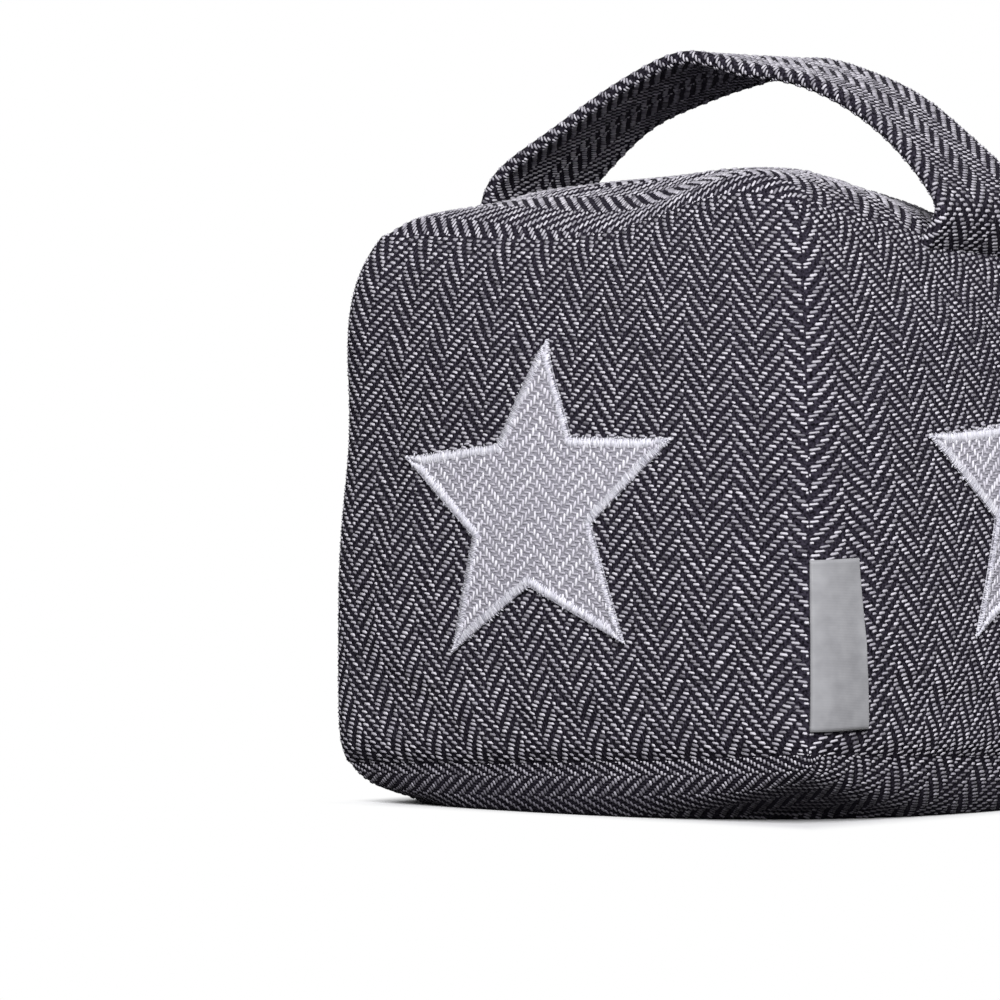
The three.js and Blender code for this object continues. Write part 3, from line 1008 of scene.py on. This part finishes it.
def strap_section():
    """Places round the strap's cut end, and how far along the cloth each one is."""
    fold_at = STRAP_WIDTH / 2 - STRAP_FOLD
    flat = np.linspace(0, 1, FLAT_STEPS + 1)[1:-1]
    turns = np.radians(np.linspace(-FOLD_TURN, FOLD_TURN, FOLD_STEPS + 1))
    fold = np.stack([fold_at + STRAP_FOLD * np.cos(turns), STRAP_FOLD * np.sin(turns)], axis=1)
    end = fold[-1, 0]
    over = np.stack([lerp(end, -end, flat), np.full(len(flat), STRAP_THICKNESS / 2)], axis=1)
    under = -over
    half = len(under) // 2
    ring = np.vstack([under[half:], fold, over, -fold, under[: half + 1]])
    return ring, length_of(ring)


def strap_panel():
    length = length_of(strap_curve)
    at = np.linspace(0, length[-1], STRAP_STEPS + 1)
    middle = np.stack([np.interp(at, length, strap_curve[:, k]) for k in (0, 1)], axis=1)
    forward = np.gradient(middle, axis=0)
    forward /= np.linalg.norm(forward, axis=1, keepdims=True)
    share = at / at[-1]
    twist = sum(
        lift * np.exp(-(((share - place) / spread) ** 2)) for place, spread, lift in STRAP_TWISTS
    )
    cup = STRAP_CUP * np.sin(np.pi * share) ** 2
    ring, round_it = strap_section()
    by_width = 2 * ring[:, 0] / STRAP_WIDTH
    lift = ring[None, :, 1] + cup[:, None] * (1 - by_width**2) + twist[:, None] * by_width
    x = middle[:, :1] - forward[:, 1:] * lift
    z = middle[:, 1:] + forward[:, :1] * lift
    points = np.stack([x, np.broadcast_to(ring[:, 0], x.shape), z], axis=-1)
    weft, warp = np.broadcast_arrays(round_it[None, :], at[:, None])
    return Panel(points, cloth=(weft.copy(), warp.copy()))


strap_cloth = strap_panel()
print("strap length along the path, mm:", round(float(strap_cloth.addresses["cloth"][1].max()), 1))

# %% Make the strap and its floats
STRAP_ORIGIN = 0.6


def make_strap():
    points, place = weld(strap_cloth.points.reshape(-1, 3))
    faces = grid_faces(*strap_cloth.points.shape[:2])
    strap = make_mesh("carry_strap_cloth", points, place[faces])
    cloth = np.stack(strap_cloth.addresses["cloth"], axis=-1).reshape(-1, 2)
    add_uv(strap, cloth[faces] * MM)
    strap.data.materials.append(warp_cloth)
    return strap


strap = make_strap()
strap_floats = Spindles(stations=(-1, -0.6, 0, 0.6, 1), heights=(-0.25, 0.8, 1, 0.8, -0.25))
weft_floats(strap_cloth, strap_floats, END, PICK, STRAP_ORIGIN)
strap_weft = strap_floats.make("carry_strap_weft", strap_cloth, "cloth", FLOAT_LIFT, weft_tones)
for piece in (strap, strap_weft):
    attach(piece, "root")
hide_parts("carry_strap")

# %% [markdown]
# ## The stars
#
# Each star is a patch of light herringbone, cut by hand, with a zigzag of white satin stitch over its
# raw edge. The patch is a thin sheet that follows the panel. Its long floats are warp yarns, so they
# stand upright. Each stitch is one spindle from the outside of the edge to the inside, and no two end
# at the same place, which gives the edge its fuzz.

# %% Star cloth
STAR_LIFT, STAR_THICKNESS = 0.35, 0.45
STAR_TOP = STAR_LIFT + STAR_THICKNESS
STAR_EDGE_STEPS, STAR_RINGS = 14, 26
STAR_LEVELS = (
    (174, 171, 182), (176, 173, 184), (190, 187, 197),
    (200, 197, 207), (210, 208, 216), (218, 216, 224),
)

star_ground, tree, shader = new_material("star_ground", linear(146, 144, 154), 0.9)
noise_bump(tree, shader, scale=1500, distance=0.0003)
star_tones = yarn_tones(
    "star_yarn", STAR_LEVELS, roughness=0.85, sheen=0.15, scale=4200, distance=0.00012
)


def outline_points(steps):
    corners = zip(STAR_OUTLINE, np.roll(STAR_OUTLINE, -1, axis=0))
    return np.vstack([a + (b - a) * np.arange(steps)[:, None] / steps for a, b in corners])


def make_star_cloth(name, panel):
    """A thin closed sheet: rings round the star's centre above and below, and a rim between them."""
    edge = outline_points(STAR_EDGE_STEPS)
    edge = np.vstack([edge, edge[:1]])
    shares = np.linspace(0, 1, STAR_RINGS + 1)[1:]
    spread = (shares[:, None, None] * edge[None]).reshape(-1, 2)
    rings, around = len(shares), len(edge)
    layers = []
    for lift in (STAR_TOP, STAR_LIFT):
        hub = panel.point("star", np.zeros(1), np.zeros(1), lift)
        layers.append(np.vstack([panel.point("star", spread[:, 0], spread[:, 1], lift), hub]))
    each = rings * around
    quads = grid_faces(rings, around)
    fan = np.stack([np.full(around - 1, each), np.arange(1, around), np.arange(around - 1)], axis=1)
    rim_start = (rings - 1) * around + np.arange(around - 1)
    below = each + 1
    rim = np.stack([rim_start, rim_start + 1, below + rim_start + 1, below + rim_start], axis=1)
    triangles = [np.vstack([q[:, [0, 1, 2]], q[:, [0, 2, 3]]]) for q in (quads, rim)]
    top = np.vstack([triangles[0], fan])
    points, place = weld(np.vstack(layers))
    faces = place[np.vstack([top[:, ::-1], below + top, triangles[1]])]
    star = make_mesh(name, points, faces)
    star.data.materials.append(star_ground)
    return star


# %% Upright floats of the star's cloth, and the level yarn that shows between two of them
STAR_END, STAR_PICK = 0.96, 0.92
STAR_ENDS, STAR_REPEATS = 44, 12
WOVEN_SHARE = 0.955
STAR_FLOAT_REACH, STAR_FLOAT_LEAN = 1.2, 0.08
STAR_FLOAT_HALF_WIDTH, STAR_FLOAT_HEIGHT = 0.41, 0.28
STAR_SPREAD = dict(lean=0.1, reach=0.14, width=0.14, height=0.2, across=0.06, up=0.1)
CROSSING_SIZES = (0.9, 0.34, 0.16)  # half length, half width, height


def star_floats(name, panel):
    spindles = Spindles()
    ends, repeats = np.arange(-STAR_ENDS, STAR_ENDS), np.arange(-STAR_REPEATS, STAR_REPEATS)
    end, repeat = (grid.ravel() for grid in np.meshgrid(ends, repeats))
    entry = np.array(ENTRY)[end % ENDS]
    x = (end + 0.5) * STAR_END
    y = (PICKS * repeat + (3 - entry) % PICKS) * STAR_PICK
    on_it = inside_outline(x, y, STAR_OUTLINE * WOVEN_SHARE)
    x, y = x[on_it], y[on_it]
    count = len(x)
    lean = STAR_FLOAT_LEAN + random.normal(0, STAR_SPREAD["lean"], count)
    half_length = STAR_PICK * (STAR_FLOAT_REACH + random.normal(0, STAR_SPREAD["reach"], count))
    half_width = varied(STAR_FLOAT_HALF_WIDTH, STAR_SPREAD["width"], count)
    height = varied(STAR_FLOAT_HEIGHT, STAR_SPREAD["height"], count)
    x = x + random.normal(0, STAR_SPREAD["across"], count)
    y = y + random.normal(0, STAR_SPREAD["up"], count)
    direction = np.stack([lean, np.ones(count)], axis=1)
    spindles.add(x, y, direction, half_length, half_width, height, 1 + tones_for(count))
    crossing = np.stack([np.ones(count), random.normal(0, STAR_SPREAD["lean"], count)], axis=1)
    sizes = (np.full(count, size) for size in CROSSING_SIZES)
    spindles.add(x, y + 2 * STAR_PICK, crossing, *sizes, np.zeros(count, int))
    return spindles.make(name, panel, "star", STAR_TOP + FLOAT_LIFT, star_tones)


# %% Where the satin stitches run
STITCH_SPACING, STITCH_WIDTH = 0.36, 2.5
SHORTEST_STITCH = 0.5
NEARLY_ZERO = 1e-6


def unit(direction):
    return direction / np.linalg.norm(direction)


def edge_stitches(start, onward, inward, length, mitres):
    """Stitches along one edge of the star, shortened where they would cross a mitre."""
    lines = []
    for at in np.arange(STITCH_SPACING / 2, length, STITCH_SPACING):
        reach = STITCH_WIDTH
        for here, turn, slope in mitres:
            if turn < 0:
                reach = min(reach, abs(at - here) / max(slope, NEARLY_ZERO))
        outer = start + onward * at
        lines.append((outer, outer + inward * max(reach, SHORTEST_STITCH)))
    return lines


def fanned_stitches(corner, first, second):
    """Stitches that turn from one edge's direction to the next one's, round a notch."""
    angle = math.acos(np.clip(first @ second, -1, 1))
    shares = np.linspace(0, 1, max(2, int(angle * STITCH_WIDTH / STITCH_SPACING)))[1:-1]
    return [(corner, corner + unit(lerp(first, second, share)) * STITCH_WIDTH) for share in shares]


def stitch_lines():
    """Outer and inner end of each stitch of the star's edge, mitred at points and fanned at notches."""
    lines = []
    corners, ahead = STAR_OUTLINE, np.roll(STAR_OUTLINE, -1, axis=0)
    count = len(corners)
    onward = [unit(end - start) for start, end in zip(corners, ahead)]
    inward = [np.array([d[1], -d[0]]) for d in onward]
    for i, (start, end) in enumerate(zip(corners, ahead)):
        following = (i + 1) % count
        length = np.linalg.norm(end - start)
        mitres = []
        for before, after, here in ((i - 1, i, 0.0), (i, following, length)):
            turn = np.cross(onward[before], onward[after])
            bisector = unit(inward[before] + inward[after])
            slope = abs(bisector @ onward[i]) / max(bisector @ inward[i], NEARLY_ZERO)
            mitres.append((here, turn, slope))
        lines += edge_stitches(start, onward[i], inward[i], length, mitres)
        if mitres[1][1] > 0:
            lines += fanned_stitches(end, inward[i], inward[following])
    return np.array(lines)


print("stitches round a star:", len(stitch_lines()))

# %% Satin stitch
STITCH_HEIGHT, STITCH_HALF_WIDTH = 0.62, 0.24
STITCH_OVERHANG = 0.15
OUTER_SPREAD, INNER_SPREAD, SLIP_SPREAD = 0.14, 0.18, 0.16
THREAD_WIDTH_SPREAD, THREAD_HEIGHT_SPREAD = 0.1, 0.12
STITCH_DEPTH = 0.6  # how far up the cloth's edge the threads bed in
STITCH_LIFT = STAR_LIFT + STAR_THICKNESS * STITCH_DEPTH
STITCH_LEVELS = (
    (168, 167, 178), (188, 187, 198), (202, 201, 211), (212, 211, 220), (222, 221, 229),
)
stitch_tones = yarn_tones(
    "stitch_thread", STITCH_LEVELS, roughness=0.6, sheen=0.1, scale=5200, distance=0.0001
)


def square_to(direction):
    return np.stack([-direction[:, 1], direction[:, 0]], axis=1)


def satin_stitch(name, panel):
    lines = stitch_lines()
    count = len(lines)
    direction = lines[:, 1] - lines[:, 0]
    direction /= np.linalg.norm(direction, axis=1, keepdims=True)
    overhang = STITCH_OVERHANG + random.normal(0, OUTER_SPREAD, count)
    outer = lines[:, 0] - direction * overhang[:, None]
    inner = lines[:, 1] + direction * random.normal(0, INNER_SPREAD, count)[:, None]
    slip = square_to(direction) * random.normal(0, SLIP_SPREAD, count)[:, None]
    outer, inner = outer + slip, inner - slip
    middle, along = (outer + inner) / 2, inner - outer
    half_length = np.linalg.norm(along, axis=1) / 2
    half_width = varied(STITCH_HALF_WIDTH, THREAD_WIDTH_SPREAD, count)
    height = varied(STITCH_HEIGHT, THREAD_HEIGHT_SPREAD, count)
    spindles = Spindles(stations=(-1, -0.72, 0, 0.72, 1), heights=(-0.1, 0.62, 1, 0.62, -0.1))
    spindles.add(*middle.T, along, half_length, half_width, height, tones_for(count))
    return spindles.make(name, panel, "star", STITCH_LIFT, stitch_tones)


# %% Loose fibres at the star's edge
FIBRES = 420
FIBRE_REACH, FIBRE_REACH_SPREAD, FIBRE_STRAY = 0.45, 0.3, 0.35
FIBRE_ROOT = 0.3
FIBRE_EASE, FIBRE_HALF_WIDTH = 0.2, 0.055
FIBRE_HEIGHT, FIBRE_HEIGHT_SHARES = 0.4, (0.3, 1.5)
FIBRE_LIFT = 0.5


def loose_fibres(name, panel):
    lines = stitch_lines()
    lines = lines[random.randint(0, len(lines), FIBRES)]
    out = lines[:, 0] - lines[:, 1]
    out /= np.linalg.norm(out, axis=1, keepdims=True)
    reach = np.abs(random.normal(FIBRE_REACH, FIBRE_REACH_SPREAD, FIBRES))[:, None]
    along = out * reach + square_to(out) * random.normal(0, FIBRE_STRAY, FIBRES)[:, None]
    middle = lines[:, 0] - out * FIBRE_ROOT + along / 2
    half_length = np.linalg.norm(along, axis=1) / 2 + FIBRE_EASE
    half_width = np.full(FIBRES, FIBRE_HALF_WIDTH)
    height = FIBRE_HEIGHT * random.uniform(*FIBRE_HEIGHT_SHARES, FIBRES)
    spindles = Spindles()
    spindles.add(*middle.T, along, half_length, half_width, height, tones_for(FIBRES))
    return spindles.make(name, panel, "star", FIBRE_LIFT, stitch_tones)


# %% Sew both stars on
for name in STARS:
    patch = make_star_cloth(f"{name}_star_patch", panels[name])
    weave = star_floats(f"{name}_star_weave", panels[name])
    stitches = satin_stitch(f"{name}_star_satin_stitch", panels[name])
    fibres = loose_fibres(f"{name}_star_fibres", panels[name])
    for piece in (patch, weave):
        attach(piece, "root")
    for piece in (stitches, fibres):
        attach(piece, "root")
    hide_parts(f"{name}_star_cloth")
    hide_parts(f"{name}_star_stitching")

# %% [markdown]
# ## The label in the seam
#
# A woven tape is folded in half and both its ends are caught in the seam, so the free side is a round
# fold that stands a little off the cloth. It is left blank. It is swept as the folded strip it is,
# which shows the two layers at its cut ends.

# %% Label cloth: fine ribs and a faint mottle
RIB_SPACING = 0.00035

label_satin, tree, shader = new_material("label_satin", linear(170, 170, 174), 0.42, sheen=0.2)
place = add_node(tree, "UVMap", uv_map="cloth")
ribs = add_node(
    tree, "TexWave", {"Scale": band_scale(RIB_SPACING), "Distortion": 0.8}, bands_direction="Y"
)
mottle = add_node(tree, "TexNoise", {"Scale": 260})
shade = add_ramp(tree, (134, 134, 138), (150, 150, 154), start=0.3, end=0.7)
bump = add_node(tree, "Bump", {"Distance": 0.00006, "Strength": 0.25})
wire(
    tree,
    (place.outputs["UV"], ribs.inputs["Vector"]),
    (place.outputs["UV"], mottle.inputs["Vector"]),
    (mottle.outputs["Fac"], shade.inputs["Fac"]),
    (shade.outputs["Color"], shader.inputs["Base Color"]),
    (ribs.outputs["Fac"], bump.inputs["Height"]),
    (bump.outputs["Normal"], shader.inputs["Normal"]),
)
print("label ribs over its height:", round(LABEL_HEIGHT * MM / RIB_SPACING))

# %% Fold the label
TAPE_THICKNESS, TAPE_FOLD = 0.22, 0.24
TAPE_FLAT_STEPS, TAPE_FOLD_STEPS, LABEL_ROWS = 22, 9, 40
LABEL_LIFT, LABEL_STAND, LABEL_RIPPLE, RIPPLE_LENGTH = 0.35, 0.7, 0.18, 5.2
LABEL_FLARE, LABEL_TILT = 0.0072, 0.03


def tape_profile():
    """The folded tape's cut end as (distance from the seam, lift), closed and evenly thick."""
    flat = np.linspace(0, LABEL_WIDTH - TAPE_FOLD, TAPE_FLAT_STEPS)
    turn = np.radians(np.linspace(-90, 90, TAPE_FOLD_STEPS))[1:-1]
    fold = np.stack([flat[-1] + TAPE_FOLD * np.cos(turn), TAPE_FOLD * (1 + np.sin(turn))], axis=1)
    lower = np.stack([flat, np.zeros_like(flat)], axis=1)
    upper = np.stack([flat[::-1], np.full_like(flat, 2 * TAPE_FOLD)], axis=1)
    line = np.vstack([lower, fold, upper])
    ahead = np.gradient(line, axis=0)
    ahead /= np.linalg.norm(ahead, axis=1, keepdims=True)
    out = -square_to(ahead) * TAPE_THICKNESS / 2
    return np.vstack([line + out, (line - out)[::-1]])


def tape_faces(count):
    """Faces along a tape whose profile has so many places, and over its two cut ends."""
    here = np.arange(LABEL_ROWS)[:, None] * count + np.arange(count)
    beside = np.arange(LABEL_ROWS)[:, None] * count + (np.arange(count) + 1) % count
    long_faces = np.stack([here, beside, beside + count, here + count], axis=-1).reshape(-1, 4)
    k = np.arange(count // 2 - 1)
    cut = np.stack([k, k + 1, count - 2 - k, count - 1 - k], axis=1)
    return np.vstack([long_faces, cut[:, ::-1], cut + LABEL_ROWS * count])


def make_label():
    profile = tape_profile()
    heights = LABEL_MIDDLE + LABEL_HEIGHT * np.linspace(-0.5, 0.5, LABEL_ROWS + 1)
    b = np.repeat(heights, len(profile))
    reach, fold_lift = np.tile(profile, (len(heights), 1)).T
    share = np.clip(reach / LABEL_WIDTH, 0, 1)
    a = LABEL_FROM + reach - LABEL_FLARE * reach * (b - LABEL_MIDDLE)
    b = b + LABEL_TILT * reach
    ripple = LABEL_RIPPLE * np.sin(b / RIPPLE_LENGTH) * share**2
    lift = LABEL_LIFT + fold_lift + LABEL_STAND * share**3 + ripple
    faces = tape_faces(len(profile))
    made = make_mesh("seam_label_tape", panels["side"].point("place", a, b, lift), faces)
    add_uv(made, np.stack([a, b], axis=1)[faces] * MM)
    made.data.materials.append(label_satin)
    return made


label = make_label()
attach(label, "root")
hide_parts("seam_label")
print("label faces:", len(label.data.polygons))

# %% [markdown]
# ## Floor, backdrop and light
#
# The photo is a cut-out on white with a faint shadow under the object. The floor is a pale plane whose
# white comes from Light Path, not from strong lamps: the camera sees white, and by the square foot it
# sees the shaded floor instead, which keeps the shadow where the cloth meets the ground. One broad
# lamp in front and above lights both star faces, the top and the strap. A weaker one behind lights the
# faces that the photo doesn't show, and the world fills the rest.

# %% Floor
FLOOR_SIZE = 30.0
SHADE_WHOLE, SHADE_GONE = 0.062, 0.077
FLOOR_BOUNCE = (0.03, 0.03, 0.032)


def to_the_eye(tree):
    """1 for the rays that bring floor or backdrop to the camera, also by a gloss or through glass."""
    rays = add_node(tree, "LightPath")
    seen = rays.outputs["Is Camera Ray"]
    for kind in ("Is Glossy Ray", "Is Transmission Ray"):
        either = add_node(tree, "Math", operation="MAXIMUM")
        wire(tree, (seen, either.inputs[0]), (rays.outputs[kind], either.inputs[1]))
        seen = either.outputs[0]
    return seen


def mixed(tree, share, first, second):
    """The first shader, and by that share the second one instead."""
    mix = add_node(tree, "MixShader")
    wire(tree, (share, mix.inputs[0]), (first, mix.inputs[1]), (second, mix.inputs[2]))
    return mix.outputs[0]


def white_off_the_foot(tree):
    """0 on a square round the object's foot, 1 farther off, and a soft step between them."""
    place = add_node(tree, "TexCoord")
    mirrored = add_node(tree, "VectorMath", operation="ABSOLUTE")
    apart = add_node(tree, "SeparateXYZ")
    farther = add_node(tree, "Math", operation="MAXIMUM")
    step = add_node(
        tree, "MapRange", {"From Min": SHADE_WHOLE, "From Max": SHADE_GONE},
        interpolation_type="SMOOTHSTEP",
    )
    wire(
        tree,
        (place.outputs["Object"], mirrored.inputs[0]),
        (mirrored.outputs[0], apart.inputs[0]),
        (apart.outputs["X"], farther.inputs[0]),
        (apart.outputs["Y"], farther.inputs[1]),
        (farther.outputs[0], step.inputs["Value"]),
    )
    return step.outputs[0]


corners = np.array([(-1, -1, 0), (1, -1, 0), (1, 1, 0), (-1, 1, 0)]) * FLOOR_SIZE / 2 / MM
floor = make_mesh("floor", corners, np.array([(0, 1, 2, 3)]), smooth=False)
floor_white, tree, shader = new_material("floor_white", (0.9, 0.9, 0.92), 1.0)
glow = add_node(tree, "Emission")
bounce = add_node(tree, "BsdfDiffuse", {"Color": (*FLOOR_BOUNCE, 1)})
share = add_node(tree, "Math", operation="MULTIPLY")
wire(tree, (white_off_the_foot(tree), share.inputs[0]), (to_the_eye(tree), share.inputs[1]))
seen = mixed(tree, share.outputs[0], shader.outputs[0], glow.outputs[0])
surface = mixed(tree, to_the_eye(tree), bounce.outputs[0], seen)
wire(tree, (surface, tree.nodes["Material Output"].inputs["Surface"]))
floor.data.materials.append(floor_white)
print("floor, m:", FLOOR_SIZE, "shadow kept to, m:", SHADE_WHOLE)

# %% World
WORLD_LIGHT = 0.035

world = bpy.data.worlds.new("studio")
bpy.context.scene.world = world
world.use_nodes = True
tree = world.node_tree
background = tree.nodes["Background"]
background.inputs["Color"].default_value = (0.96, 0.97, 1.0, 1)
background.inputs["Strength"].default_value = WORLD_LIGHT
white = add_node(tree, "Background", {"Color": (1, 1, 1, 1)})
surface = mixed(tree, to_the_eye(tree), background.outputs[0], white.outputs[0])
wire(tree, (surface, tree.nodes["World Output"].inputs["Surface"]))
print("world light:", WORLD_LIGHT)

# %% Lamps
LAMPS = (  # name, place, size, watts
    ("key", (1.0, -1.1, 0.84), 1.0, 46),
    ("back", (-1.1, 1.2, 0.5), 1.2, 22),
)
LAMP_AIM = Vector((0, 0, 0.08))

for name, place, size, watts in LAMPS:
    lamp = bpy.data.lights.new(name, "AREA")
    lamp.shape = "DISK"
    lamp.size = size
    lamp.energy = watts
    lit = bpy.data.objects.new(name, lamp)
    lit.location = place
    lit.rotation_mode = "QUATERNION"
    lit.rotation_quaternion = (LAMP_AIM - Vector(place)).to_track_quat("-Z", "Y")
    bpy.context.scene.collection.objects.link(lit)
    print(name, "lamp, m from the object:", round((LAMP_AIM - Vector(place)).length, 2))

bpy.context.scene.view_settings.view_transform = "Standard"
